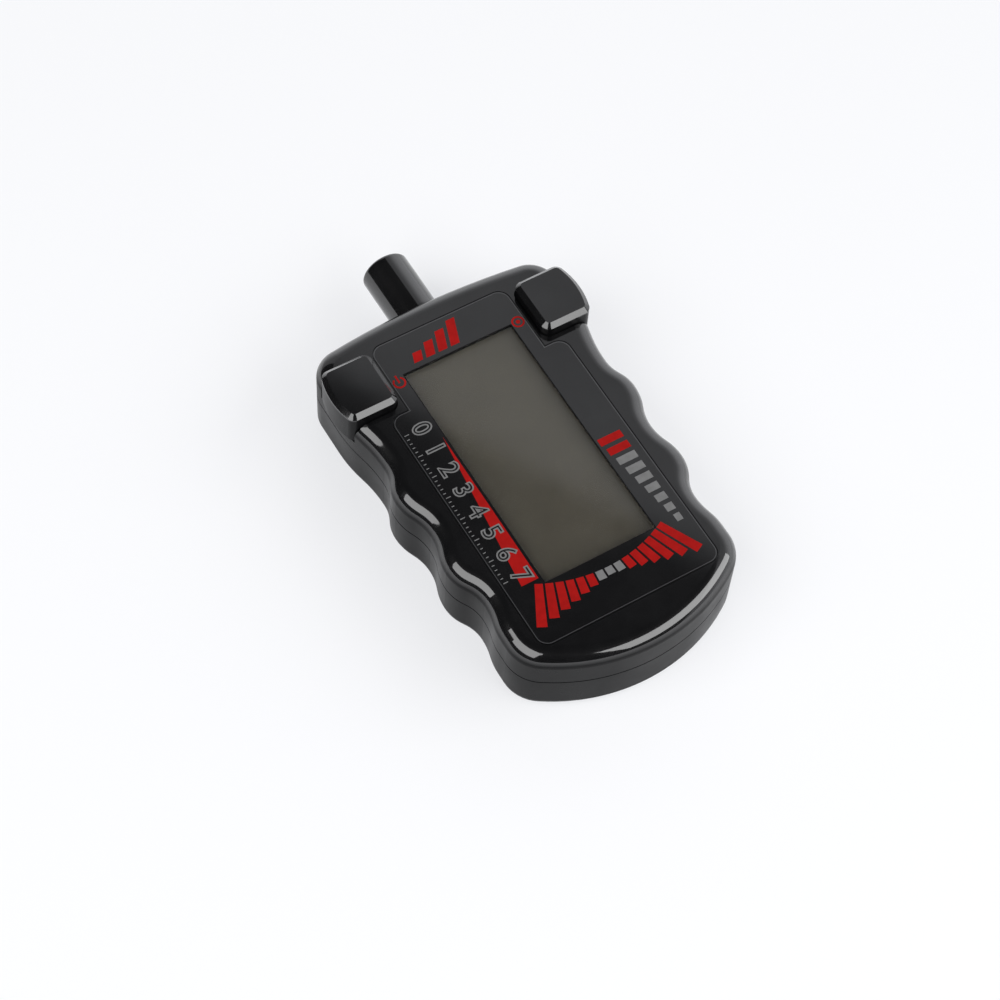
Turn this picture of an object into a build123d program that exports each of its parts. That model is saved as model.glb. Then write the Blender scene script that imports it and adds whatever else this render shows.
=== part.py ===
from build123d import *
import os
from math import sqrt

# Hand-held optical tachometer, in millimetres. X runs across it, Y towards the sensor snout
# and Z out of the display. The origin is on the back face, in the middle of its outline.

# Display window, which the case is laid out around
window_width = 21.6
window_length = 47.1

# Case
wall = 1.8
front_edge_round = 3.0
back_edge_round = 2.0
bottom_bow = 34.0
bottom_corner_round = 7.0
top_bow = 150.0
top_corner_round = 5.5
# Finger grip, turn by turn: how far up from the bottom end, and how far in from the shoulders
grip_turns = [
    (13.4, 2.1),
    (20.2, 3.05),
    (28.6, 0.55),
    (36.0, 1.95),
    (44.6, 0.0),
    (51.3, 1.65),
]
shoulder_drop = 13.1
tongue_height = 1.0
tongue_gap = 0.1
parting_groove = 0.25

# Sensor snout
snout_reach = 13.4
snout_radius = 4.5
snout_tip_round = 0.7
sensor_radius = 2.5
sensor_length = 8.6
sensor_flange_radius = 2.9
sensor_flange_thickness = 1.0
sensor_recess = 2.5
sensor_gap = 0.12
lead_passage_radius = 2.0
lead_pitch = 2.54
lead_size = 0.5
lead_on_board = 1.6

# Printed label, by its margins round the window
label_side_margin = 6.75
label_upper_margin = 2.85
label_low_margin = 10.3
label_high_margin = 7.4
label_shoulder_gap = 1.4
label_round = 2.2
label_thickness = 0.3
label_recess = 0.35
label_gap = 0.12

# Clear plate behind the window
lens_thickness = 1.0
lens_margin = 1.2
lens_ledge = 0.4
lens_gap = 0.1

# Display and its holder
glass_thickness = 1.1
glass_margin = 2.2
glass_ledge = 2.1
glass_drop = 0.1
holder_wall = 1.25
holder_gap = 0.15
holder_rib = 1.2
holder_peg_radius = 0.6
peg_gap = 0.1
strip_end_gap = 1.7
strip_gap = 0.15

# Circuit board, level with the split
board_thickness = 1.6
board_low_margin = 1.7
board_high_margin = 2.4
board_low_gap = 1.0
board_high_gap = 0.3
board_side_margin = 1.9
board_roof_gap = 0.98
board_ear_length = 10.2
board_ear_margin = 0.1
board_ear_gap = 1.3

# Shoulder buttons
button_holder_gap = 0.2
button_drop = 18.1
button_length = 11.4
button_overhang = 0.9
button_side_bow = 1.1
button_proud = 2.7
button_corner_round = 1.6
button_top_bevel = 0.85
button_wall = 1.3
button_gap = 0.2
button_travel = 0.4
apron_drop = 4.3
flange_width = 1.2
flange_thickness = 0.9
flange_gap = 0.1
flange_switch_gap = 0.3
stop_gap = 0.1

# Touch switches under the buttons
switch_inset = 3.2
switch_size = 6.0
switch_height = 3.5
plunger_radius = 1.6
plunger_stand = 0.5
plunger_depth = 1.1
plunger_gap = 0.08
terminal_width = 0.7
terminal_thickness = 0.25
terminal_reach = 0.9

# Coin cell and its compartment
cell_radius = 10.0
cell_thickness = 3.2
cell_cap_radius = 8.8
cell_cap_step = 0.3
cell_rim_bevel = 0.3
cell_up = 17.9
cell_side_gap = 0.3
cell_door_gap = 0.2
cell_roof_gap = 0.6
roof_thickness = 1.0
compartment_wall = 1.8
thumb_notch_radius = 4.0
contact_thickness = 0.3
contact_width = 3.0
contact_touch = 0.02
contact_slot_gap = 0.2
contact_foot = 3.0
contact_leaf = 8.0
contact_leg_x = -7.5

# Battery door
door_width = 25.2
door_length = 32.1
door_thickness = 1.5
door_inset = 0.12
door_gap = 0.15
rail_width = 1.0
rail_thickness = 0.6
rail_height = 0.58
rail_gap = 0.1
rail_short = 4.2
grip_grooves = 5
grip_groove_length = 12.0
grip_groove_width = 0.8
grip_groove_depth = 0.5
grip_groove_pitch = 1.9
grip_up = 24.0

# Case screws
case_screw_radius = 1.05
case_screw_length = 8.5
case_screw_head_radius = 1.9
case_screw_head_height = 1.3
case_screw_seat = 3.2
low_screw_x = 16.6
low_screw_up = 9.3
top_screw_x = 10.5
top_screw_drop = 4.1
well_gap = 0.3
well_wall = 0.9
post_radius = 2.3
post_floor = 1.3
screw_hole_gap = 0.15
thread_gap = 0.03
case_pilot_spare = 1.0
post_gap = 0.1
cross_width = 0.6
cross_depth = 0.6

# Board screws
board_screw_radius = 0.7
board_screw_length = 4.6
board_screw_head_radius = 1.5
board_screw_head_height = 0.9
board_boss_radius = 1.7
boss_holder_gap = 0.2
board_pilot_spare = 0.5
board_screw_in = 3.5
board_screw_button_gap = 3.9

# Parts soldered under the board, placed from its sensor end
blob_radius = 5.5
blob_top_radius = 3.6
blob_height = 1.6
blob_drop = 26.0
crystal_length = 11.0
crystal_width = 4.6
crystal_height = 3.5
crystal_x = -8.0
crystal_drop = 15.0
chip_length = 4.9
chip_width = 3.9
chip_height = 1.5
chip_leg_reach = 1.1
chip_leg_width = 0.42
chip_leg_pitch = 1.27
chip_leg_thickness = 0.3
chip_stand = 0.1
chip_drop = 7.0
small_chip_length = 2.0
small_chip_width = 1.25
small_chip_height = 0.55
small_capacitor_height = 0.8
small_chip_column = 9.0
small_chip_drop = 31.0
small_chip_pitch = 2.6
resistor_count = 6
capacitor_count = 4

# Heights, stacked up from the back face
door_top_face = door_inset + door_thickness
cell_bottom = door_top_face + cell_door_gap
cell_top = cell_bottom + cell_thickness
roof_under = cell_top + cell_roof_gap
roof_top = roof_under + roof_thickness
board_under = roof_top + board_roof_gap
split_height = board_under + board_thickness / 2
board_top = board_under + board_thickness
switch_top = board_top + switch_height
plunger_top = switch_top + plunger_stand
flange_low = switch_top + flange_switch_gap + button_travel
flange_top = flange_low + flange_thickness
front_inside = flange_top + flange_gap
case_depth = front_inside + wall
label_floor = case_depth - label_recess
button_top = case_depth + button_proud
glass_top = front_inside - glass_drop
glass_step = glass_top - glass_thickness
glass_bottom = glass_step - glass_thickness

# Half-widths, from the window outwards
glass_half_width = window_width / 2 + glass_margin
holder_half_width = glass_half_width + holder_gap + holder_wall
board_screw_x = holder_half_width + boss_holder_gap + board_boss_radius
board_half_width = board_screw_x + board_side_margin
button_inner = holder_half_width + button_holder_gap
switch_x = button_inner + switch_inset
board_ear_half_width = switch_x + switch_size / 2 + board_ear_margin
shoulder_half_width = board_ear_half_width + board_ear_gap + wall

# Lengths, from the bottom end up
glass_half_length = window_length / 2 + glass_margin
holder_half_length = glass_half_length + holder_gap + holder_wall
board_up = low_screw_up + post_radius + board_low_gap
board_length = board_low_margin + 2 * holder_half_length + board_high_margin
top_screw_up = board_up + board_length + board_high_gap + post_radius
case_length = top_screw_up + top_screw_drop

# Places along Y
case_bottom = -(case_length + snout_reach) / 2
case_top = case_bottom + case_length
snout_tip = case_top + snout_reach
board_low_y = case_bottom + board_up
board_high_y = board_low_y + board_length
window_middle_y = board_low_y + board_low_margin + holder_half_length
window_low_y = window_middle_y - window_length / 2
window_high_y = window_middle_y + window_length / 2
button_low_y = case_top - button_drop
button_high_y = button_low_y + button_length
switch_y = (button_low_y + button_high_y) / 2
label_low_y = window_low_y - label_low_margin
label_high_y = window_high_y + label_high_margin
label_shoulder_y = button_low_y - label_shoulder_gap
cell_y = case_bottom + cell_up
door_end_y = case_bottom + door_length
case_screw_places = [
    (top_screw_x, case_top - top_screw_drop),
    (low_screw_x, case_bottom + low_screw_up),
]
board_screw_places = [
    (board_screw_x, button_low_y - board_screw_button_gap),
    (board_screw_x, board_low_y + board_screw_in),
]
far = 200.0
overcut = 1.0


def block(low, high):
    """Box between two opposite corners."""
    size = [b - a for a, b in zip(low, high)]
    middle = [(a + b) / 2 for a, b in zip(low, high)]
    return Pos(*middle) * Box(*size)


def rod(x, y, radius, low, high):
    """Upright cylinder between two heights."""
    return Pos(x, y, (low + high) / 2) * Cylinder(radius, high - low)


def slab(outline, low, high):
    """Flat outline raised from one height to another."""
    return extrude(Pos(0, 0, low) * outline, high - low, dir=(0, 0, 1))


def bar_along_y(radius, low_y, high_y):
    """Cylinder on the snout's axis."""
    bar = Cylinder(radius, high_y - low_y)
    return Pos(0, (low_y + high_y) / 2, split_height) * Rot(-90, 0, 0) * bar


def both_sides(shape):
    """The shape and its mirror image across the middle."""
    return [shape, mirror(shape, Plane.YZ)]


def rounded_at(face, points, radius):
    """Round the corners of a flat outline that lie at the given points."""
    corners = []
    for x, y in points:
        corners.append(face.vertices().sort_by_distance((x, y, 0))[0])
    return fillet(corners, radius)


def grip_side(inset):
    """Edges of the right side: a crest or waist at each turn, joined by pairs of tangent arcs."""
    turns = [(shoulder_half_width - inward, case_bottom + up) for up, inward in grip_turns]
    turns.append((shoulder_half_width, case_top - shoulder_drop))
    edges = []
    for (x0, y0), (x1, y1) in zip(turns, turns[1:]):
        out, up = (x1 - x0) / 2, (y1 - y0) / 2
        radius = (out**2 + up**2) / (2 * out)
        meet = (x0 + out - inset * (1 - out / radius), y0 + up + inset * up / radius)
        edges.append(TangentArc((x0 - inset, y0), meet, tangent=(0, 1)))
        edges.append(TangentArc((x1 - inset, y1), meet, tangent=(0, -1)))
    return turns[0], turns[-1], edges


def case_outline(inset=0.0):
    """The case seen from the front, its edge moved in by inset."""
    low_turn, high_turn, side = grip_side(inset)
    low_x, high_x = low_turn[0] - inset, high_turn[0] - inset
    low_y = case_bottom + bottom_bow - sqrt((bottom_bow - inset) ** 2 - low_x**2)
    high_y = case_top - top_bow + sqrt((top_bow - inset) ** 2 - high_x**2)
    side.append(Line((low_x, low_y), (low_x, low_turn[1])))
    side.append(Line((high_x, high_turn[1]), (high_x, high_y)))
    edges = [e for piece in side for e in both_sides(piece)]
    edges.append(ThreePointArc((-low_x, low_y), (0, case_bottom + inset), (low_x, low_y)))
    edges.append(ThreePointArc((-high_x, high_y), (0, case_top - inset), (high_x, high_y)))
    face = make_face(edges)
    face = rounded_at(face, [(low_x, low_y), (-low_x, low_y)], bottom_corner_round - inset)
    return rounded_at(face, [(high_x, high_y), (-high_x, high_y)], top_corner_round - inset)


def outer_form():
    """Whole outside of the closed case, snout included."""
    body = slab(case_outline(), 0, case_depth)
    body = fillet(body.edges().group_by(Axis.Z)[-1], front_edge_round)
    body = fillet(body.edges().group_by(Axis.Z)[0], back_edge_round)
    snout = bar_along_y(snout_radius, case_top - front_edge_round, snout_tip)
    snout = fillet(snout.edges().group_by(Axis.Y)[-1], snout_tip_round)
    return body + snout


def snout_bore():
    """Stepped bore that holds the light sensor by its flange."""
    flange_back = snout_tip - sensor_recess - sensor_length
    flange_front = flange_back + sensor_flange_thickness
    bore = bar_along_y(sensor_radius + sensor_gap, flange_front, snout_tip + overcut)
    groove = bar_along_y(
        sensor_flange_radius + sensor_gap, flange_back - sensor_gap / 2, flange_front + sensor_gap / 2
    )
    passage = bar_along_y(lead_passage_radius, case_top - 2 * wall, flange_back)
    return bore + groove + passage


def label_outline(grow=0.0):
    """Label seen from the front: wide below, narrow between the buttons."""
    wide = window_width / 2 + label_side_margin
    narrow = window_width / 2 + label_upper_margin
    lower_length = label_shoulder_y - label_low_y
    full_length = label_high_y - label_low_y
    lower = Pos(0, label_low_y + lower_length / 2) * Rectangle(2 * wide, lower_length)
    upper = Pos(0, label_low_y + full_length / 2) * Rectangle(2 * narrow, full_length)
    face = lower + upper
    outer = [(wide, label_low_y), (wide, label_shoulder_y), (narrow, label_high_y)]
    points = [(s * x, y) for x, y in outer for s in (1, -1)]
    face = rounded_at(face, points, label_round)
    return offset(face, grow) if grow else face


def window_outline(grow=0.0):
    """Display window opening, or a rectangle that much larger all round."""
    return Pos(0, window_middle_y) * Rectangle(window_width + 2 * grow, window_length + 2 * grow)


def button_outline():
    """Right-hand button seen from the front."""
    outer_x = shoulder_half_width + button_overhang
    ends_x = outer_x - button_side_bow
    corners = [
        (button_inner, button_low_y),
        (ends_x, button_low_y),
        (ends_x, button_high_y),
        (button_inner, button_high_y),
    ]
    edges = [
        Line(corners[0], corners[1]),
        ThreePointArc(corners[1], (outer_x, switch_y), corners[2]),
        Line(corners[2], corners[3]),
        Line(corners[3], corners[0]),
    ]
    return rounded_at(make_face(edges), corners, button_corner_round)


def screw_points(places):
    """Every screw's place from the right-hand ones."""
    return [(s * x, y) for x, y in places for s in (1, -1)]


def halfspace(low, high):
    """Everything between two heights."""
    return block((-far, -far, low), (far, far, high))


def front_shell():
    """Front half of the case, with its window, button openings and bosses."""
    shell = outer_form() & halfspace(split_height, far)
    tongue = case_outline(wall / 2 + tongue_gap)
    shell += slab(tongue, split_height - tongue_height, split_height + wall)
    shell -= slab(case_outline(wall), split_height - far, front_inside)
    for x, y in screw_points(case_screw_places):
        shell += rod(x, y, post_radius, split_height - post_gap, front_inside + wall / 4)
    for x, y in screw_points(board_screw_places):
        shell += rod(x, y, board_boss_radius, board_top, front_inside + wall / 4)
    shell -= snout_bore()
    shell -= slab(label_outline(label_gap), label_floor, case_depth + overcut)
    shell -= slab(window_outline(lens_margin), label_floor - lens_thickness, case_depth)
    shell -= slab(window_outline(lens_ledge), front_inside - overcut, case_depth)
    opening = slab(offset(button_outline(), button_gap), notch_floor(), far)
    for cut in both_sides(opening):
        shell -= cut
    groove = case_outline(-overcut) - case_outline(parting_groove)
    shell -= slab(groove, split_height, split_height + parting_groove)
    case_pilot_top = case_screw_seat + case_screw_length + case_pilot_spare
    for x, y in screw_points(case_screw_places):
        shell -= rod(x, y, case_screw_radius + thread_gap, split_height - wall, case_pilot_top)
    board_pilot_top = board_under + board_screw_length + board_pilot_spare
    for x, y in screw_points(board_screw_places):
        shell -= rod(x, y, board_screw_radius + thread_gap, board_under, board_pilot_top)
    return shell


def notch_floor():
    """Height where the side wall stops below a button."""
    return case_depth - apron_drop - button_travel - stop_gap


def rear_shell():
    """Back half of the case, with the cell compartment, screw wells and door slot."""
    shell = outer_form() & halfspace(-far, split_height)
    shell -= slab(case_outline(wall), wall, far)
    half = door_width / 2 + door_gap + rail_width + compartment_wall
    end_y = door_end_y + compartment_wall
    box = slab(case_outline(wall / 2), back_edge_round / 2, roof_top)
    shell += box & block((-half, -far, 0), (half, end_y, far))
    for x, y in screw_points(case_screw_places):
        well_radius = case_screw_head_radius + well_gap + well_wall
        inside = slab(case_outline(wall / 2), 0, split_height)
        well = rod(x, y, well_radius, wall / 2, case_screw_seat + post_floor)
        shell += (well + rod(x, y, post_radius, wall / 2, split_height - 2 * post_gap)) & inside
    rebate = case_outline(wall / 2) - case_outline(wall + tongue_gap)
    shell -= slab(rebate, split_height - tongue_height - tongue_gap, far)
    shell -= snout_bore()
    for x, y in screw_points(case_screw_places):
        shell -= rod(x, y, case_screw_head_radius + well_gap, -overcut, case_screw_seat)
        shell -= rod(x, y, case_screw_radius + screw_hole_gap, 0, split_height)
    shell -= door_slot()
    shell -= cell_pocket()
    return shell


def door_slot():
    """Slot that the battery door and its rails slide in, open at the bottom end."""
    half = door_width / 2 + door_gap
    slot = block((-half, -far, -overcut), (half, door_end_y + door_gap, cell_bottom))
    rail_low = rail_height - rail_gap
    rail_high = rail_height + rail_thickness + rail_gap
    rail_half = half + rail_width
    rails = block((-rail_half, -far, rail_low), (rail_half, door_end_y - door_gap, rail_high))
    return slot + rails


def cell_pocket():
    """Round pocket for the cell, with a thumb notch and slots for the contacts."""
    radius = cell_radius + cell_side_gap
    pocket = rod(0, cell_y, radius, door_inset, roof_under)
    pocket += rod(0, cell_y - radius, thumb_notch_radius, door_inset, roof_under)
    half = contact_width / 2 + contact_slot_gap
    side_low = cell_radius - contact_slot_gap
    side_high = cell_radius + contact_thickness + 2 * contact_slot_gap
    pocket += block((side_low, cell_y - half, door_top_face), (side_high, cell_y + half, far))
    leg_low = contact_leg_x - contact_thickness / 2 - contact_slot_gap
    leg_high = contact_leg_x + contact_thickness / 2 + contact_slot_gap
    pocket += block((leg_low, cell_y - half, cell_top), (leg_high, cell_y + half, far))
    return pocket


def battery_door():
    """Sliding door, cut from the case's own outside, with side rails and grip grooves."""
    half = door_width / 2
    plate = outer_form() & block((-half, -far, door_inset), (half, door_end_y, door_top_face))
    rail_half = half + rail_width
    rail_low = (-rail_half, case_bottom + rail_short, rail_height)
    rail_high = (rail_half, door_end_y - 3 * door_gap, rail_height + rail_thickness)
    door = plate + block(rail_low, rail_high)
    first = case_bottom + grip_up - grip_groove_pitch * (grip_grooves - 1) / 2
    for i in range(grip_grooves):
        y = first + i * grip_groove_pitch
        low = (-grip_groove_length / 2, y - grip_groove_width / 2, -overcut)
        high = (grip_groove_length / 2, y + grip_groove_width / 2, door_inset + grip_groove_depth)
        door -= block(low, high)
    return door


def shoulder_button():
    """Right-hand button: hollow cap, side apron, stem and the flange that keeps it in."""
    low = case_depth - apron_drop
    outline = button_outline()
    cap = slab(outline, low, button_top)
    cap = chamfer(cap.edges().group_by(Axis.Z)[-1], button_top_bevel)
    inner_wall_x = shoulder_half_width - wall
    cap -= block((0, -far, 0), (inner_wall_x, far, flange_low))
    flange_low_y = button_low_y - flange_width
    flange_high_y = button_high_y + flange_width
    flange_x = inner_wall_x - 2 * flange_width
    cap += block((button_inner, flange_low_y, flange_low), (flange_x, flange_high_y, flange_top))
    cap -= slab(offset(outline, -button_wall), 0, button_top - button_wall)
    return cap + rod(switch_x, switch_y, plunger_radius, plunger_top, button_top - button_wall / 2)


def switch_body():
    """Right-hand touch switch, bored for its plunger."""
    half = switch_size / 2
    low = (switch_x - half, switch_y - half, board_top)
    high = (switch_x + half, switch_y + half, switch_top)
    body = chamfer(block(low, high).edges().filter_by(Axis.Z), switch_size / 12)
    hole_low = switch_top - plunger_depth - button_travel - stop_gap
    return body - rod(switch_x, switch_y, plunger_radius + plunger_gap, hole_low, far)


def switch_plunger():
    """Right-hand plunger, standing out of its switch."""
    return rod(switch_x, switch_y, plunger_radius, switch_top - plunger_depth, plunger_top)


def switch_terminals():
    """Four flat feet for each switch, soldered on the board."""
    feet = []
    half = switch_size / 2
    for dx in (-half / 2, half / 2):
        for side in (-1, 1):
            near = switch_y + side * half
            end = near + side * terminal_reach
            x = switch_x + dx
            low = (x - terminal_width / 2, min(near, end), board_top)
            high = (x + terminal_width / 2, max(near, end), board_top + terminal_thickness)
            feet += both_sides(block(low, high))
    return feet


def display_label():
    """Printed film over the front, cut out at the display."""
    label = slab(label_outline(), label_floor, label_floor + label_thickness)
    return label - slab(window_outline(), 0, far)


def display_window():
    """Clear plate under the label."""
    outline = window_outline(lens_margin - lens_gap)
    return slab(outline, label_floor - lens_thickness, label_floor)


def lcd_panel():
    """Sealed display: a wide front glass on a narrower back glass."""
    length = 2 * glass_half_length
    front = Pos(0, window_middle_y) * Rectangle(2 * glass_half_width, length)
    back = Pos(0, window_middle_y) * Rectangle(2 * (glass_half_width - glass_ledge), length)
    return slab(front, glass_step, glass_top) + slab(back, glass_bottom, glass_step)


def peg_points():
    """Places of the four pegs that locate the display holder on the board."""
    x = glass_half_width - glass_ledge / 2
    y = glass_half_length + holder_gap + holder_wall / 2
    return [(s * x, window_middle_y + t * y) for s in (1, -1) for t in (1, -1)]


def lcd_holder():
    """Frame round the display, with ribs under its back glass and pegs in the board."""
    half_x = glass_half_width + holder_gap
    half_y = glass_half_length + holder_gap
    outer = Pos(0, window_middle_y) * Rectangle(2 * holder_half_width, 2 * holder_half_length)
    inner = Pos(0, window_middle_y) * Rectangle(2 * half_x, 2 * half_y)
    holder = slab(outer - inner, board_top, glass_top)
    rib_x = glass_half_width - glass_ledge - strip_gap
    ribs = Pos(0, window_middle_y) * Rectangle(2 * rib_x, 2 * (half_y + holder_wall / 2))
    hole = Pos(0, window_middle_y) * Rectangle(2 * (rib_x - holder_rib), 2 * (half_y - holder_rib))
    holder += slab(ribs - hole, board_top, glass_bottom)
    for x, y in peg_points():
        holder += rod(x, y, holder_peg_radius, board_under, board_top + holder_peg_radius)
    return holder


def contact_strip():
    """Right-hand rubber strip between the front glass and the board."""
    low_x = glass_half_width - glass_ledge + strip_gap / 2
    high_x = glass_half_width - strip_gap
    half_y = glass_half_length - strip_end_gap
    low = (low_x, window_middle_y - half_y, board_top)
    high = (high_x, window_middle_y + half_y, glass_step)
    return block(low, high)


def circuit_board():
    """Board with ears under the buttons and holes for screws and pegs."""
    outline = Pos(0, (board_low_y + board_high_y) / 2) * Rectangle(2 * board_half_width, board_length)
    outline += Pos(0, switch_y) * Rectangle(2 * board_ear_half_width, board_ear_length)
    board = slab(outline, board_under, board_top)
    for x, y in screw_points(board_screw_places):
        board -= rod(x, y, board_screw_radius + screw_hole_gap, 0, far)
    for x, y in peg_points():
        board -= rod(x, y, holder_peg_radius + peg_gap, 0, far)
    return board


def light_sensor():
    """Domed light sensor with its flange."""
    flange_back = snout_tip - sensor_recess - sensor_length
    dome_y = snout_tip - sensor_recess - sensor_radius
    body = bar_along_y(sensor_radius, flange_back, dome_y)
    body += bar_along_y(sensor_flange_radius, flange_back, flange_back + sensor_flange_thickness)
    return body + Pos(0, dome_y, split_height) * Sphere(sensor_radius)


def sensor_leads():
    """Two leads that straddle the board's edge."""
    flange_back = snout_tip - sensor_recess - sensor_length
    leads = []
    for side in (-1, 1):
        z = split_height + side * lead_pitch / 2
        low = (-lead_size / 2, board_high_y - lead_on_board, z - lead_size / 2)
        leads.append(block(low, (lead_size / 2, flange_back, z + lead_size / 2)))
    return leads


def sensor_solder():
    """Solder between each lead and the board."""
    joints = []
    lead_inner = lead_pitch / 2 - lead_size / 2
    for side in (-1, 1):
        faces = sorted((split_height + side * board_thickness / 2, split_height + side * lead_inner))
        low = (-lead_size, board_high_y - lead_on_board - lead_size, faces[0])
        joints.append(block(low, (lead_size, board_high_y - lead_size, faces[1])))
    return joints


def positive_contact():
    """Strip beside the cell's can, with its foot under the board."""
    half = contact_thickness / 2
    x = cell_radius + contact_touch + half
    low_z = cell_bottom + cell_thickness / 4
    foot_z = board_under - half
    upright = block(
        (x - half, cell_y - contact_width / 2, low_z), (x + half, cell_y + contact_width / 2, board_under)
    )
    foot = block(
        (x - half - contact_foot, cell_y - contact_width / 2, foot_z - half),
        (x + half, cell_y + contact_width / 2, board_under),
    )
    return upright + foot


def negative_contact():
    """Leaf under the compartment roof that presses on the cell's cap."""
    half = contact_thickness / 2
    leaf_z = roof_under - half
    tip_z = cell_top + contact_touch + half
    leg_x = contact_leg_x
    low_y, high_y = cell_y - contact_width / 2, cell_y + contact_width / 2
    leg = block((leg_x - half, low_y, leaf_z - half), (leg_x + half, high_y, board_under))
    foot_low = (leg_x - half - contact_foot, low_y, board_under - contact_thickness)
    foot = block(foot_low, (leg_x + half, high_y, board_under))
    leaf_end = leg_x + contact_leaf
    leaf = block((leg_x - half, low_y, leaf_z - half), (leaf_end, high_y, leaf_z + half))
    profile = Polyline(
        (leaf_end, leaf_z + half),
        (leaf_end + contact_foot, tip_z + half),
        (leaf_end + contact_foot, tip_z - half),
        (leaf_end, leaf_z - half),
        close=True,
    )
    ramp = extrude(Plane.XZ * make_face(profile), contact_width / 2, both=True)
    return leg + foot + leaf + Pos(0, cell_y, 0) * ramp


def coin_cell():
    """Sealed coin cell, its can towards the door and its cap inside."""
    can_top = cell_top - cell_cap_step
    can = rod(0, cell_y, cell_radius, cell_bottom, can_top)
    can = chamfer(can.edges().filter_by(GeomType.CIRCLE), cell_rim_bevel)
    cap = rod(0, cell_y, cell_cap_radius, can_top - cell_rim_bevel, cell_top)
    return can + chamfer(cap.edges().group_by(Axis.Z)[-1], cell_cap_step / 2)


def pan_screw(x, y, seat, radius, length, head_radius, head_height):
    """Screw driven upwards, its head below the seat, with a cross recess."""
    head = rod(x, y, head_radius, seat - head_height, seat)
    head = chamfer(head.edges().group_by(Axis.Z)[0], head_height / 2)
    screw = head + rod(x, y, radius, seat, seat + length)
    reach = 0.6 * head_radius
    bottom = seat - head_height - overcut
    top = seat - head_height + cross_depth * head_height / case_screw_head_height
    for dx, dy in ((reach, cross_width / 2), (cross_width / 2, reach)):
        screw -= block((x - dx, y - dy, bottom), (x + dx, y + dy, top))
    return screw


def case_screws():
    """The four screws that close the case."""
    sizes = (case_screw_seat, case_screw_radius, case_screw_length)
    head = (case_screw_head_radius, case_screw_head_height)
    return [pan_screw(x, y, *sizes, *head) for x, y in screw_points(case_screw_places)]


def board_screws():
    """The four screws that hold the board on the front half."""
    sizes = (board_under, board_screw_radius, board_screw_length)
    head = (board_screw_head_radius, board_screw_head_height)
    return [pan_screw(x, y, *sizes, *head) for x, y in screw_points(board_screw_places)]


def controller_blob():
    """Epoxy drop over the controller, under the board."""
    middle = Pos(0, board_high_y - blob_drop, board_under - blob_height / 2)
    return middle * Cone(blob_top_radius, blob_radius, blob_height)


def crystal():
    """Metal can of the timing crystal, lying under the board."""
    outline = Pos(crystal_x, board_high_y - crystal_drop) * SlotOverall(crystal_length, crystal_width)
    return slab(outline, board_under - crystal_height, board_under)


def amplifier_chip():
    """Eight-legged amplifier chip near the sensor."""
    y = board_high_y - chip_drop
    low = (-chip_width / 2, y - chip_length / 2, board_under - chip_height)
    chip = block(low, (chip_width / 2, y + chip_length / 2, board_under - chip_stand))
    for i in range(4):
        leg_y = y + (i - 1.5) * chip_leg_pitch
        reach = chip_width / 2 + chip_leg_reach
        low = (-reach, leg_y - chip_leg_width / 2, board_under - chip_leg_thickness)
        chip += block(low, (reach, leg_y + chip_leg_width / 2, board_under))
    return chip


def small_chips(x, count, height):
    """Column of small soldered chips under the board."""
    chips = []
    for i in range(count):
        y = board_high_y - small_chip_drop + i * small_chip_pitch
        low = (x - small_chip_length / 2, y - small_chip_width / 2, board_under - height)
        high = (x + small_chip_length / 2, y + small_chip_width / 2, board_under)
        chips.append(block(low, high))
    return chips


def save(name, shape):
    """Write one node, from one solid or from a list of them."""
    if isinstance(shape, list):
        shape = Compound(children=[Part() + piece for piece in shape])
    export_step(shape, f"parts/{name}.step")


def main():
    os.makedirs("parts", exist_ok=True)
    power_button, set_button = reversed(both_sides(shoulder_button()))
    power_body, set_body = reversed(both_sides(switch_body()))
    power_plunger, set_plunger = reversed(both_sides(switch_plunger()))
    strip_right, strip_left = both_sides(contact_strip())
    nodes = {
        "front_shell": front_shell(),
        "rear_shell": rear_shell(),
        "battery_door": battery_door(),
        "display_label": display_label(),
        "display_window": display_window(),
        "lcd_panel": lcd_panel(),
        "lcd_holder": lcd_holder(),
        "contact_strip_left": strip_left,
        "contact_strip_right": strip_right,
        "circuit_board": circuit_board(),
        "controller_blob": controller_blob(),
        "timing_crystal": crystal(),
        "amplifier_chip": amplifier_chip(),
        "chip_resistors": small_chips(small_chip_column, resistor_count, small_chip_height),
        "chip_capacitors": small_chips(-small_chip_column, capacitor_count, small_capacitor_height),
        "power_button": power_button,
        "set_button": set_button,
        "power_switch_body": power_body,
        "set_switch_body": set_body,
        "power_switch_plunger": power_plunger,
        "set_switch_plunger": set_plunger,
        "switch_terminals": switch_terminals(),
        "light_sensor": light_sensor(),
        "sensor_leads": sensor_leads(),
        "sensor_solder": sensor_solder(),
        "positive_contact": positive_contact(),
        "negative_contact": negative_contact(),
        "coin_cell": coin_cell(),
        "case_screws": case_screws(),
        "board_screws": board_screws(),
    }
    for name, shape in nodes.items():
        save(name, shape)


main()
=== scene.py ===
import math

import bpy
import bmesh
from mathutils import Matrix, Vector


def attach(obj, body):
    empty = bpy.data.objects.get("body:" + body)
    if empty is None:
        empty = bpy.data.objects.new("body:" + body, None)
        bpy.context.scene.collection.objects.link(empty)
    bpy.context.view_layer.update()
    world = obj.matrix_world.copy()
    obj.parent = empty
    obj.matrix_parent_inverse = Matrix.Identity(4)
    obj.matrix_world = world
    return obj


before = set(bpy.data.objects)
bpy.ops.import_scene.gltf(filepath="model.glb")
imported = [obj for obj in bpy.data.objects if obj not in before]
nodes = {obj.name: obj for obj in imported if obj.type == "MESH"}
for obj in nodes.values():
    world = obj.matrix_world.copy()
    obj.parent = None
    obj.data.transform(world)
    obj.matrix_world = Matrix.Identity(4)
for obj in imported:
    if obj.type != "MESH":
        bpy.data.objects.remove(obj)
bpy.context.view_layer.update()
MM = 0.001

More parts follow.
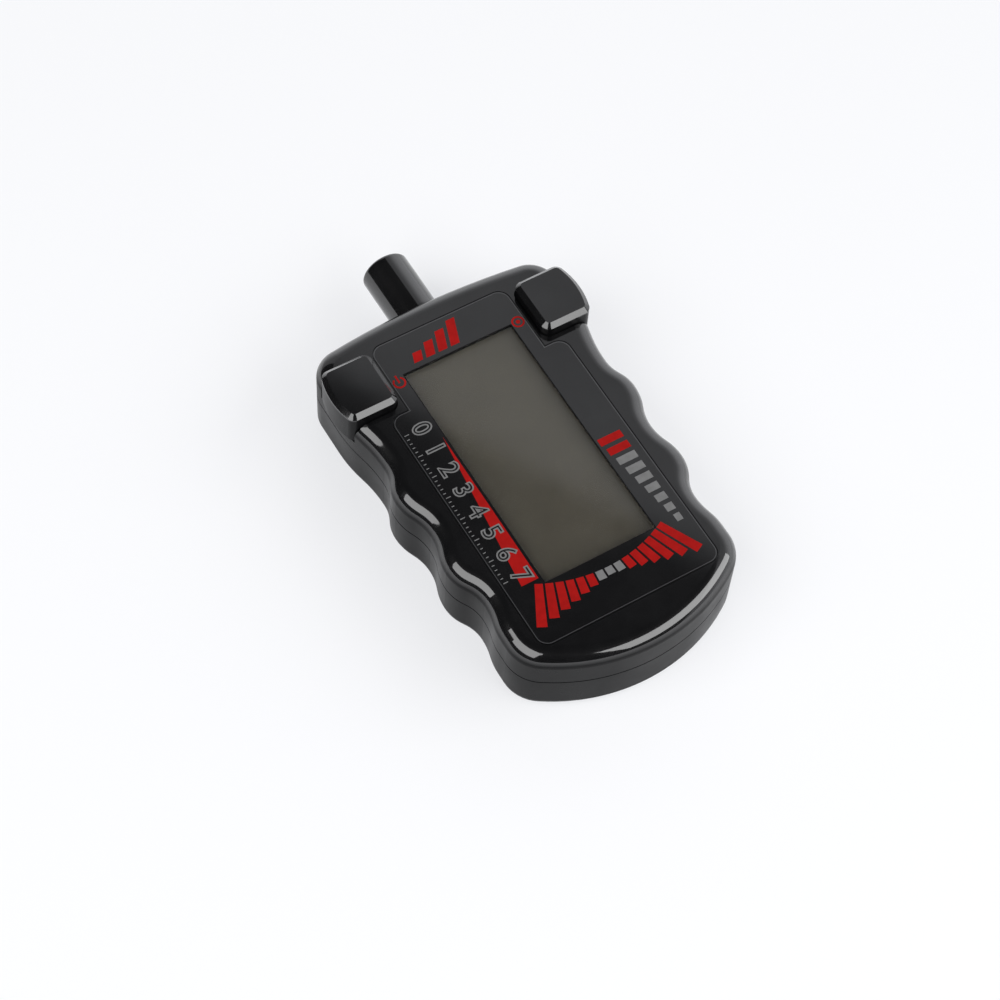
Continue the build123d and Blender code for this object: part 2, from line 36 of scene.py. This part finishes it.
# Camera: place in metres and turn in degrees, worked out from the photograph's perspective
CAMERA_PLACE = (-0.1347, -0.19026, 0.38167)
CAMERA_TURN = (30.880, -2.458, -30.804)
CAMERA_LENS = 91.29
CAMERA_SENSOR = 36.0
CAMERA_NEAR = 0.01

# Room: its colour, the direction in which it grows lighter (beyond the snout and the right
# side, and low down), the places along that direction and the strengths on either side
ROOM_COLOUR = (0.96, 0.97, 1.0, 1)
ROOM_LIGHTER = (0.750, 0.442, -0.492)
OVERHEAD_EDGE, OVERHEAD_STRENGTH = (-0.003, 0.008), (0.03, 0.47)
LOW_DOWN_EDGE, LOW_DOWN_STRENGTH = (0.12, 0.60), (0.0, 0.80)

# Softboxes: name, place in metres, width and height in metres, power in watts
SOFTBOXES = (
    ("front_softbox", (0.519, -0.618, 0.591), (1.30, 0.60), 9.0),
    ("left_softbox", (-0.696, -0.123, 0.707), (1.06, 0.77), 8.0),
)
SOFTBOX_AIM = (0, 0, 0.008)

# Floor: its side and how far it lies under zero in metres, its own colours and roughness,
# and the white that is seen there with its share beside the floor's own lit colour
FLOOR_SIDE, FLOOR_UNDER = 4.0, 0.0001
FLOOR_DARK, FLOOR_LIGHT = (0.92, 0.92, 0.93, 1), (0.94, 0.94, 0.95, 1)
FLOOR_ROUGHNESS, FLOOR_CLOUDS = 0.9, 3.0
FLOOR_WHITE = (0.965, 0.975, 1.0, 1)
FLOOR_WHITE_SHARE = 0.65

# Noise between these two values is spread over the range that is asked for
NOISE_LOW, NOISE_HIGH = 0.3, 0.7
COAT_ROUGHNESS = 0.05
POLISH_IOR, SATIN_IOR = 1.8, 1.2

# Black plastic, fresh and slightly worn
BLACK = (0.0030, 0.0030, 0.0034, 1.0)
BLACK_WORN = (0.0048, 0.0048, 0.0052, 1.0)
SATIN_ROUGHNESS, SATIN_LOW, SATIN_HIGH = 0.3, 0.24, 0.40
POLISH_LOW, POLISH_HIGH = 0.86, 1.0
RELIEF_FLOW = 0.000002

# Noise scales of the black plastic, per metre, and their detail
WEAR_SCALE, SATIN_SCALE, POLISH_SCALE, FLOW_SCALE = 400.0, 90.0, 60.0, 150.0
SURFACE_DETAIL, FLOW_DETAIL = 4.0, 1.0

# Heights at which the polish starts, and the snout's place along Y, in millimetres
CASE_GLOSS_FROM, CASE_GLOSS_FADE = 13.9, 0.9
SNOUT_GLOSS_FROM = 32.4
BUTTON_GLOSS_FROM, BUTTON_GLOSS_FADE = 17.65, 0.4
FILM_GLOSS_FROM, FILM_GLOSS_FADE = 16.02, 0.1

# Clear plate
CLEAR, CLEAR_IOR, CLEAR_ROUGHNESS = (0.96, 0.96, 0.95, 1), 1.49, 0.03
CLEAR_SCALE, CLEAR_LOW, CLEAR_HIGH = 150.0, 0.02, 0.06

# Ink: colours, roughness, share of its darker tone, noise scale and height of a layer
RED = (0.36, 0.009, 0.008, 1.0)
SILVER = (0.19, 0.19, 0.19, 1.0)
INK_BLACK = (0.010, 0.010, 0.011, 1.0)
# Grey of the painted highlight round the label's cut edge
EDGE_GLINT_GREY = (0.050, 0.050, 0.053, 1.0)
INK_ROUGHNESS, INK_DARKER, INK_SCALE = 0.22, 0.82, 700.0
INK_LAYER = 0.012

# Moulded and cast surfaces: darker and lighter colour, roughness, then grain and relief
# where they aren't the usual ones
GRAIN, RELIEF = 900.0, 0.00002
MOULDED = {
    "display_grey": (
        (0.037, 0.033, 0.0245, 1), (0.041, 0.0367, 0.0274, 1), 0.35, 300.0, 0.000002,
    ),
    "holder_white": ((0.70, 0.70, 0.68, 1), (0.80, 0.80, 0.78, 1), 0.5),
    "strip_rubber": ((0.45, 0.30, 0.33, 1), (0.62, 0.45, 0.48, 1), 0.7),
    "board_green": ((0.015, 0.13, 0.05, 1), (0.02, 0.18, 0.07, 1), 0.3),
    "black_epoxy": ((0.012, 0.012, 0.012, 1), (0.02, 0.02, 0.02, 1), 0.45),
    "chip_ceramic": ((0.36, 0.27, 0.18, 1), (0.48, 0.38, 0.28, 1), 0.5),
    "switch_black": ((0.03, 0.03, 0.03, 1), (0.05, 0.05, 0.05, 1), 0.5),
    "sensor_epoxy": ((0.02, 0.012, 0.02, 1), (0.035, 0.022, 0.035, 1), 0.08),
}

# Metals: darker and lighter colour, roughness, and how far the brushing is stretched
EVEN, BRUSH_SCALE, BRUSH_DETAIL = (1, 1, 1), 1200.0, 3.0
BRUSH_SMOOTHER, BRUSH_ROUGHER = 0.7, 1.4
METALS = {
    "bright_metal": ((0.60, 0.60, 0.58, 1), (0.72, 0.72, 0.70, 1), 0.28, EVEN),
    "spring_steel": ((0.58, 0.56, 0.52, 1), (0.70, 0.68, 0.63, 1), 0.3, (1, 8, 1)),
    "cell_steel": ((0.63, 0.62, 0.59, 1), (0.68, 0.67, 0.64, 1), 0.25, (6, 1, 1)),
    "screw_black": ((0.10, 0.10, 0.10, 1), (0.17, 0.17, 0.18, 1), 0.35, EVEN),
}

# The nodes that wear each material
WEAR = {
    "case_gloss": ("front_shell", "rear_shell", "battery_door"),
    "button_gloss": ("power_button", "set_button"),
    "label_film": ("display_label",),
    "clear_window": ("display_window",),
    "display_grey": ("lcd_panel",),
    "holder_white": ("lcd_holder",),
    "strip_rubber": ("contact_strip_left", "contact_strip_right"),
    "board_green": ("circuit_board",),
    "black_epoxy": ("controller_blob", "amplifier_chip", "chip_resistors"),
    "chip_ceramic": ("chip_capacitors",),
    "switch_black": (
        "power_switch_body", "set_switch_body", "power_switch_plunger", "set_switch_plunger",
    ),
    "sensor_epoxy": ("light_sensor",),
    "bright_metal": (
        "timing_crystal", "switch_terminals", "sensor_leads", "sensor_solder", "board_screws",
    ),
    "spring_steel": ("positive_contact", "negative_contact"),
    "cell_steel": ("coin_cell",),
    "screw_black": ("case_screws",),
}

# The label and its window, in millimetres
LABEL_LOW, LABEL_STEP, LABEL_HIGH = -37.95, 12.65, 26.85
LABEL_WIDE, LABEL_NARROW, LABEL_ROUND = 17.55, 13.65, 2.2
LABEL_TOP = 16.15
WINDOW_SIDE, WINDOW_LOW, WINDOW_HIGH = 10.8, -27.65, 19.45

# Painted highlight for the label's cut edge, between two distances from the edge, and the
# window's dark edge
EDGE_GLINT_OUTER, EDGE_GLINT_INNER, CORNER_STEPS = 0.10, 0.26, 8
WINDOW_EDGE = 0.14

# Scale down the left strip: numbers, a tick every fifth of a number, and the ramp
SCALE_NUMBERS, SCALE_X, SCALE_TOP, SCALE_STEP = 8, -13.7, 8.4, 4.7
NUMBER_SIZE, NUMBER_SWELL, CENTRE_SWELL, NUMBER_CURVE = 4.8, 0.19, -0.08, 4
TICKS_A_NUMBER, TICK_X, TICK_HALF = 5, -16.95, 0.08
TICK_LONG, TICK_SHORT = 0.9, 0.5
SCALE_RAMP = [(-11.3, 5.2), (-11.3, -26.4), (-14.6, -26.4)]

# Level bars on the right strip, longer upwards; those past the plain ones are red
BARS, PLAIN_BARS = 9, 7
BAR_SIDE, BAR_LOW, BAR_PITCH, BAR_HEIGHT = 15.9, -28.6, 2.35, 1.5
BAR_SHORTEST, BAR_GROWTH = 1.2, 0.42

# Gauge arc under the window: angles in degrees; its middle blocks are silver
GAUGE_BLOCKS, GAUGE_START, GAUGE_SWEEP, GAUGE_GAP = 15, 241.5, 57.0, 0.8
GAUGE_Y, GAUGE_INNER, GAUGE_OUTER = -4.0, 26.2, 27.7
GAUGE_DEEPER, GAUGE_SWING, GAUGE_STEPS = 6.6, 1.7, 3
GAUGE_MIDDLE_FROM, GAUGE_MIDDLE_TO = 6, 9

# Slanted bars above the window
SLANTS, SLANT_X, SLANT_PITCH, SLANT_WIDTH = 4, -8.0, 2.45, 1.75
SLANT_LOW, SLANT_HIGH, SLANT_GROWTH, SLANT_LEAN = 20.6, 22.6, 1.05, 0.35

# Signs beside the buttons: rings, the power sign's stroke and the set sign's dot
SIGN_OUTER, SIGN_INNER = 1.2, 0.85
POWER_PLACE, POWER_ARC, POWER_STEPS = (-12.25, 18.4), (125, 415), 20
POWER_STROKE = (-12.42, 18.3, -12.08, 20.0)
SET_PLACE, SET_ARC, SET_STEPS = (12.25, 19.4), (0, 345), 23
SET_DOT, SET_DOT_ARC, SET_DOT_STEPS = 0.42, (0, 340), 17


def new_material(name, colour, roughness, metallic=0.0, coat_ior=1.5, ior=1.5):
    """Principled material with its plain values set on the shader."""
    material = bpy.data.materials.new(name)
    material.use_nodes = True
    shader = material.node_tree.nodes["Principled BSDF"]
    shader.inputs["Base Color"].default_value = colour
    shader.inputs["Roughness"].default_value = roughness
    shader.inputs["Metallic"].default_value = metallic
    shader.inputs["Coat Roughness"].default_value = COAT_ROUGHNESS
    shader.inputs["Coat IOR"].default_value = coat_ior
    shader.inputs["IOR"].default_value = ior
    return material, shader


def add_noise(material, scale, detail=3.0, stretch=EVEN):
    """Noise texture in object space; returns its value output."""
    tree = material.node_tree
    place = tree.nodes.new("ShaderNodeTexCoord")
    turn = tree.nodes.new("ShaderNodeMapping")
    turn.inputs["Scale"].default_value = stretch
    noise = tree.nodes.new("ShaderNodeTexNoise")
    noise.inputs["Scale"].default_value = scale
    noise.inputs["Detail"].default_value = detail
    tree.links.new(place.outputs["Object"], turn.inputs["Vector"])
    tree.links.new(turn.outputs["Vector"], noise.inputs["Vector"])
    return noise.outputs["Fac"]


def map_range(tree, value, across, results):
    """Value mapped from one range onto another; returns the node."""
    ranger = tree.nodes.new("ShaderNodeMapRange")
    ranger.inputs["From Min"].default_value, ranger.inputs["From Max"].default_value = across
    ranger.inputs["To Min"].default_value, ranger.inputs["To Max"].default_value = results
    tree.links.new(value, ranger.inputs["Value"])
    return ranger


def spread(material, value, low, high):
    """Noise value spread over a range."""
    ranger = map_range(material.node_tree, value, (NOISE_LOW, NOISE_HIGH), (low, high))
    return ranger.outputs["Result"]


def above(tree, value, start, fade):
    """Rises from 0 to 1 over a short way above a place, both in millimetres."""
    return map_range(tree, value, (start * MM, (start + fade) * MM), (0, 1)).outputs["Result"]


def ramp(tree, value, across, strengths):
    """Soft step from one strength to another."""
    ranger = map_range(tree, value, across, strengths)
    ranger.interpolation_type = "SMOOTHSTEP"
    return ranger.outputs["Result"]


def join_values(tree, operation, first, second):
    """Two values joined by one sum."""
    sums = tree.nodes.new("ShaderNodeMath")
    sums.operation = operation
    tree.links.new(first, sums.inputs[0])
    tree.links.new(second, sums.inputs[1])
    return sums.outputs["Value"]


def shade_between(material, shader, value, dark, light):
    """Base colour that wanders between two colours."""
    tree = material.node_tree
    mix = tree.nodes.new("ShaderNodeMix")
    mix.data_type = "RGBA"
    mix.inputs["A"].default_value = dark
    mix.inputs["B"].default_value = light
    tree.links.new(spread(material, value, 0.0, 1.0), mix.inputs["Factor"])
    tree.links.new(mix.outputs["Result"], shader.inputs["Base Color"])


def add_bump(material, shader, value, height):
    """Fine relief, height in metres."""
    tree = material.node_tree
    bump = tree.nodes.new("ShaderNodeBump")
    bump.inputs["Distance"].default_value = height
    bump.inputs["Strength"].default_value = 1.0
    tree.links.new(value, bump.inputs["Height"])
    tree.links.new(bump.outputs["Normal"], shader.inputs["Normal"])
    tree.links.new(bump.outputs["Normal"], shader.inputs["Coat Normal"])


def gloss_black(name, gloss_from, fade, gloss_beyond=None):
    """Satin black plastic, polished above a height and beyond a place along Y."""
    material, shader = new_material(
        name, BLACK, SATIN_ROUGHNESS, coat_ior=POLISH_IOR, ior=SATIN_IOR
    )
    tree = material.node_tree
    shade_between(material, shader, add_noise(material, WEAR_SCALE), BLACK, BLACK_WORN)
    satin = add_noise(material, SATIN_SCALE, SURFACE_DETAIL)
    satin = spread(material, satin, SATIN_LOW, SATIN_HIGH)
    tree.links.new(satin, shader.inputs["Roughness"])
    polish = add_noise(material, POLISH_SCALE, SURFACE_DETAIL)
    polish = spread(material, polish, POLISH_LOW, POLISH_HIGH)
    place = tree.nodes.new("ShaderNodeTexCoord")
    split = tree.nodes.new("ShaderNodeSeparateXYZ")
    tree.links.new(place.outputs["Object"], split.inputs["Vector"])
    polished = above(tree, split.outputs["Z"], gloss_from, fade)
    if gloss_beyond is not None:
        snout = above(tree, split.outputs["Y"], gloss_beyond, fade)
        polished = join_values(tree, "MAXIMUM", polished, snout)
    polish = join_values(tree, "MULTIPLY", polished, polish)
    tree.links.new(polish, shader.inputs["Coat Weight"])
    add_bump(material, shader, add_noise(material, FLOW_SCALE, FLOW_DETAIL), RELIEF_FLOW)
    return material


def moulded(name, dark, light, roughness, grain=GRAIN, relief=RELIEF):
    """Plain moulded or cast surface with a fine grain."""
    material, shader = new_material(name, light, roughness)
    shade_between(material, shader, add_noise(material, grain), dark, light)
    add_bump(material, shader, add_noise(material, grain * 2), relief)
    return material


def metal(name, dark, light, roughness, stretch):
    """Plated or brushed metal."""
    material, shader = new_material(name, light, roughness, metallic=1.0)
    lines = add_noise(material, BRUSH_SCALE, BRUSH_DETAIL, stretch)
    shade_between(material, shader, lines, dark, light)
    uneven = spread(material, lines, roughness * BRUSH_SMOOTHER, roughness * BRUSH_ROUGHER)
    material.node_tree.links.new(uneven, shader.inputs["Roughness"])
    return material


def clear_plate():
    """Clear window plate; lamps reach what is behind it."""
    material, shader = new_material("clear_window", CLEAR, CLEAR_ROUGHNESS, ior=CLEAR_IOR)
    shader.inputs["Transmission Weight"].default_value = 1.0
    tree = material.node_tree
    uneven = spread(material, add_noise(material, CLEAR_SCALE), CLEAR_LOW, CLEAR_HIGH)
    tree.links.new(uneven, shader.inputs["Roughness"])
    output = tree.nodes["Material Output"]
    path = tree.nodes.new("ShaderNodeLightPath")
    see_through = tree.nodes.new("ShaderNodeBsdfTransparent")
    mix = tree.nodes.new("ShaderNodeMixShader")
    tree.links.new(path.outputs["Is Shadow Ray"], mix.inputs["Fac"])
    tree.links.new(shader.outputs["BSDF"], mix.inputs[1])
    tree.links.new(see_through.outputs["BSDF"], mix.inputs[2])
    tree.links.new(mix.outputs["Shader"], output.inputs["Surface"])
    return material


def ink(name, colour, gloss=0.0):
    """Printed ink, as glossy as asked; also the painted highlight round the label's edge."""
    material, shader = new_material(
        name, colour, INK_ROUGHNESS, coat_ior=POLISH_IOR, ior=SATIN_IOR
    )
    shader.inputs["Coat Weight"].default_value = gloss
    darker = tuple(c * INK_DARKER for c in colour[:3]) + (1,)
    shade_between(material, shader, add_noise(material, INK_SCALE), darker, colour)
    return material


def dress_nodes():
    """Give every CAD node its material."""
    looks = {
        "case_gloss": gloss_black(
            "case_gloss", CASE_GLOSS_FROM, CASE_GLOSS_FADE, SNOUT_GLOSS_FROM
        ),
        "button_gloss": gloss_black("button_gloss", BUTTON_GLOSS_FROM, BUTTON_GLOSS_FADE),
        "label_film": gloss_black("label_film", FILM_GLOSS_FROM, FILM_GLOSS_FADE),
    }
    for name, values in MOULDED.items():
        looks[name] = moulded(name, *values)
    for name, values in METALS.items():
        looks[name] = metal(name, *values)
    looks["clear_window"] = clear_plate()
    for look, names in WEAR.items():
        for name in names:
            slots = nodes[name].material_slots
            for slot in slots:
                slot.material = looks[look]
            if not slots:
                nodes[name].data.materials.append(looks[look])


def arc_points(x, y, radius, start, end, count):
    """Points on an arc, angles in degrees."""
    angles = [math.radians(start + (end - start) * i / count) for i in range(count + 1)]
    return [(x + radius * math.cos(a), y + radius * math.sin(a)) for a in angles]


def rectangle(low_x, low_y, high_x, high_y):
    """Four corners of a rectangle."""
    return [(low_x, low_y), (high_x, low_y), (high_x, high_y), (low_x, high_y)]


def label_line(inset):
    """The label's outline, moved in, from its bottom right corner to its bottom left."""
    near = LABEL_ROUND
    wide, narrow = LABEL_WIDE - near, LABEL_NARROW - near
    right = arc_points(wide, LABEL_LOW + near, near - inset, -90, 0, CORNER_STEPS)
    right += arc_points(wide, LABEL_STEP - near, near - inset, 0, 90, CORNER_STEPS)
    right.append((LABEL_NARROW - inset, LABEL_STEP - inset))
    right += arc_points(narrow, LABEL_HIGH - near, near - inset, 0, 90, CORNER_STEPS)
    return right + [(-x, y) for x, y in reversed(right)]


def band_between(outer, inner, closed=True):
    """Quads between two lines of as many points."""
    count = len(outer)
    last = count if closed else count - 1
    shapes = []
    for i in range(last):
        j = (i + 1) % count
        shapes.append([outer[i], outer[j], inner[j], inner[i]])
    return shapes


def place_print(name, mesh, material):
    """Put a printed mesh on the case."""
    mesh.materials.append(material)
    piece = bpy.data.objects.new(name, mesh)
    bpy.context.collection.objects.link(piece)
    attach(piece, "case")


def print_piece(name, shapes, layer, material):
    """Flat shapes printed on the label, raised by their layer of ink."""
    mesh = bpy.data.meshes.new(name)
    form = bmesh.new()
    low = LABEL_TOP
    high = LABEL_TOP + INK_LAYER * layer
    for shape in shapes:
        bottom = [form.verts.new((x * MM, y * MM, low * MM)) for x, y in shape]
        top = [form.verts.new((x * MM, y * MM, high * MM)) for x, y in shape]
        form.faces.new(top)
        for i in range(len(shape)):
            j = (i + 1) % len(shape)
            form.faces.new((bottom[i], bottom[j], top[j], top[i]))
    bmesh.ops.recalc_face_normals(form, faces=form.faces)
    form.to_mesh(mesh)
    form.free()
    place_print(name, mesh, material)


def print_numbers(name, places, swell, layer, material):
    """Plain numerals that read down the label, their tops towards the window."""
    form = bmesh.new()
    high = LABEL_TOP + INK_LAYER * layer
    for text, x, y in places:
        curve = bpy.data.curves.new(name + "_line", "FONT")
        curve.body = text
        curve.size = NUMBER_SIZE * MM
        curve.offset = swell * MM
        curve.extrude = INK_LAYER * layer / 2 * MM
        curve.align_x = "CENTER"
        curve.align_y = "CENTER"
        curve.resolution_u = NUMBER_CURVE
        writer = bpy.data.objects.new(name + "_line", curve)
        bpy.context.collection.objects.link(writer)
        bpy.context.view_layer.update()
        mesh = bpy.data.meshes.new_from_object(writer)
        turn = Matrix.Rotation(math.radians(-90), 4, "Z")
        middle = high - INK_LAYER * layer / 2
        mesh.transform(Matrix.Translation((x * MM, y * MM, middle * MM)) @ turn)
        form.from_mesh(mesh)
        bpy.data.objects.remove(writer)
        bpy.data.meshes.remove(mesh)
        bpy.data.curves.remove(curve)
    mesh = bpy.data.meshes.new(name)
    form.to_mesh(mesh)
    form.free()
    place_print(name, mesh, material)


def print_borders(grey, black):
    """Thin painted highlight round the label's cut edge, and dark edge round the window."""
    # Grey band along the label's edge: a painted highlight for its cut edge's glint
    border = band_between(label_line(EDGE_GLINT_OUTER), label_line(EDGE_GLINT_INNER))
    print_piece("painted_label_edge_glint", border, 1, grey)
    window = rectangle(-WINDOW_SIDE, WINDOW_LOW, WINDOW_SIDE, WINDOW_HIGH)
    wider = rectangle(
        -WINDOW_SIDE - WINDOW_EDGE, WINDOW_LOW - WINDOW_EDGE,
        WINDOW_SIDE + WINDOW_EDGE, WINDOW_HIGH + WINDOW_EDGE,
    )
    print_piece("window_border", band_between(wider, window), 1, black)


def print_scale(red, silver, black):
    """Numbers with dark centres down the left strip, their ticks, and the ramp below them."""
    numbers = [(str(i), SCALE_X, SCALE_TOP - SCALE_STEP * i) for i in range(SCALE_NUMBERS)]
    print_numbers("scale_numbers", numbers, NUMBER_SWELL, 2, silver)
    print_numbers("scale_number_centres", numbers, CENTRE_SWELL, 3, black)
    ticks = []
    for i in range(TICKS_A_NUMBER * (SCALE_NUMBERS - 1) + 1):
        y = SCALE_TOP - SCALE_STEP / TICKS_A_NUMBER * i
        reach = TICK_LONG if i % TICKS_A_NUMBER == 0 else TICK_SHORT
        ticks.append(rectangle(TICK_X, y - TICK_HALF, TICK_X + reach, y + TICK_HALF))
    print_piece("scale_ticks", ticks, 1, silver)
    print_piece("scale_ramp", [SCALE_RAMP], 1, red)


def print_level_bars(red, silver):
    """Level bars up the right strip."""
    bars = []
    for i in range(BARS):
        low_y = BAR_LOW + BAR_PITCH * i
        low_x = BAR_SIDE - BAR_SHORTEST - BAR_GROWTH * i
        bars.append(rectangle(low_x, low_y, BAR_SIDE, low_y + BAR_HEIGHT))
    print_piece("level_bars", bars[:PLAIN_BARS], 2, silver)
    print_piece("level_bars_high", bars[PLAIN_BARS:], 2, red)


def print_gauge(red, silver):
    """Gauge arc under the window, its blocks deeper towards both ends."""
    blocks = []
    middle = (GAUGE_BLOCKS - 1) / 2
    for i in range(GAUGE_BLOCKS):
        start = GAUGE_START + GAUGE_SWEEP * i / GAUGE_BLOCKS
        end = start + GAUGE_SWEEP / GAUGE_BLOCKS - GAUGE_GAP
        away = abs(i - middle) / middle
        reach = GAUGE_OUTER + GAUGE_DEEPER * away**GAUGE_SWING
        inner = arc_points(0, GAUGE_Y, GAUGE_INNER, start, end, GAUGE_STEPS)
        outer = arc_points(0, GAUGE_Y, reach, start, end, GAUGE_STEPS)
        blocks.append(outer + inner[::-1])
    ends = blocks[:GAUGE_MIDDLE_FROM] + blocks[GAUGE_MIDDLE_TO:]
    print_piece("gauge_blocks", ends, 1, red)
    centre = blocks[GAUGE_MIDDLE_FROM:GAUGE_MIDDLE_TO]
    print_piece("gauge_blocks_middle", centre, 1, silver)


def print_slanted_bars(red):
    """Slanted bars above the window, each taller than the one before."""
    bars = []
    for i in range(SLANTS):
        x = SLANT_X + SLANT_PITCH * i
        top = SLANT_HIGH + SLANT_GROWTH * i
        lean = (top - SLANT_LOW) * SLANT_LEAN
        bars.append([
            (x, SLANT_LOW), (x + SLANT_WIDTH, SLANT_LOW),
            (x + SLANT_WIDTH + lean, top), (x + lean, top),
        ])
    print_piece("slanted_bars", bars, 1, red)


def print_signs(red):
    """Power sign and set sign beside the buttons."""
    power = band_between(
        arc_points(*POWER_PLACE, SIGN_OUTER, *POWER_ARC, POWER_STEPS),
        arc_points(*POWER_PLACE, SIGN_INNER, *POWER_ARC, POWER_STEPS),
        closed=False,
    )
    power.append(rectangle(*POWER_STROKE))
    print_piece("power_sign", power, 1, red)
    setting = band_between(
        arc_points(*SET_PLACE, SIGN_OUTER, *SET_ARC, SET_STEPS),
        arc_points(*SET_PLACE, SIGN_INNER, *SET_ARC, SET_STEPS),
    )
    setting.append(arc_points(*SET_PLACE, SET_DOT, *SET_DOT_ARC, SET_DOT_STEPS))
    print_piece("set_sign", setting, 1, red)


def print_label():
    """Painted highlight round the label's cut edge, and the window edge, scale, bars and
    signs printed on the label film.
    """
    red = ink("ink_red", RED)
    silver = ink("ink_silver", SILVER)
    black = ink("ink_black", INK_BLACK)
    # Grey painted highlight round the label's cut edge, made like an ink
    grey = ink("painted_edge_glint", EDGE_GLINT_GREY, gloss=1.0)
    print_borders(grey, black)
    print_scale(red, silver, black)
    print_level_bars(red, silver)
    print_gauge(red, silver)
    print_slanted_bars(red)
    print_signs(red)


def make_stage():
    """Pale floor that shows nearly white and keeps the object's shadow."""
    bpy.ops.mesh.primitive_plane_add(size=FLOOR_SIDE, location=(0, 0, -FLOOR_UNDER))
    floor = bpy.context.object
    floor.name = "floor"
    material, shader = new_material("floor_white", FLOOR_LIGHT, FLOOR_ROUGHNESS)
    clouds = add_noise(material, FLOOR_CLOUDS)
    shade_between(material, shader, clouds, FLOOR_DARK, FLOOR_LIGHT)
    tree = material.node_tree
    path = tree.nodes.new("ShaderNodeLightPath").outputs
    seen = join_values(tree, "MAXIMUM", path["Is Camera Ray"], path["Is Glossy Ray"])
    seen = join_values(tree, "MAXIMUM", seen, path["Is Transmission Ray"])
    share = tree.nodes.new("ShaderNodeMath")
    share.operation = "MULTIPLY"
    share.inputs[1].default_value = FLOOR_WHITE_SHARE
    tree.links.new(seen, share.inputs[0])
    white = tree.nodes.new("ShaderNodeEmission")
    white.inputs["Color"].default_value = FLOOR_WHITE
    mix = tree.nodes.new("ShaderNodeMixShader")
    tree.links.new(share.outputs["Value"], mix.inputs["Fac"])
    tree.links.new(shader.outputs["BSDF"], mix.inputs[1])
    tree.links.new(white.outputs["Emission"], mix.inputs[2])
    tree.links.new(mix.outputs["Shader"], tree.nodes["Material Output"].inputs["Surface"])
    floor.data.materials.append(material)


def add_softbox(name, place, size, power):
    """Rectangular area light aimed at the object."""
    lamp = bpy.data.lights.new(name, "AREA")
    lamp.shape = "RECTANGLE"
    lamp.size, lamp.size_y = size
    lamp.energy = power
    softbox = bpy.data.objects.new(name, lamp)
    softbox.location = place
    aim = Vector(SOFTBOX_AIM) - Vector(place)
    softbox.rotation_euler = aim.to_track_quat("-Z", "Y").to_euler()
    bpy.context.collection.objects.link(softbox)


def make_light():
    """Plain studio light: a soft room, a wide softbox in front and one over the left side."""
    world = bpy.data.worlds.new("studio")
    bpy.context.scene.world = world
    world.use_nodes = True
    tree = world.node_tree
    background = tree.nodes["Background"]
    background.inputs["Color"].default_value = ROOM_COLOUR
    place = tree.nodes.new("ShaderNodeTexCoord")
    along = tree.nodes.new("ShaderNodeVectorMath")
    along.operation = "DOT_PRODUCT"
    along.inputs[1].default_value = ROOM_LIGHTER
    tree.links.new(place.outputs["Generated"], along.inputs[0])
    overhead = ramp(tree, along.outputs["Value"], OVERHEAD_EDGE, OVERHEAD_STRENGTH)
    low_down = ramp(tree, along.outputs["Value"], LOW_DOWN_EDGE, LOW_DOWN_STRENGTH)
    strength = join_values(tree, "ADD", overhead, low_down)
    tree.links.new(strength, background.inputs["Strength"])
    for softbox in SOFTBOXES:
        add_softbox(*softbox)


def make_camera():
    """Camera at the photograph's place."""
    data = bpy.data.cameras.new("camera")
    data.lens = CAMERA_LENS
    data.sensor_width = CAMERA_SENSOR
    data.clip_start = CAMERA_NEAR
    camera = bpy.data.objects.new("camera", data)
    camera.location = CAMERA_PLACE
    camera.rotation_euler = [math.radians(a) for a in CAMERA_TURN]
    bpy.context.collection.objects.link(camera)
    bpy.context.scene.camera = camera


dress_nodes()
print_label()
make_stage()
make_light()
make_camera()
bpy.context.scene.view_settings.view_transform = "Standard"
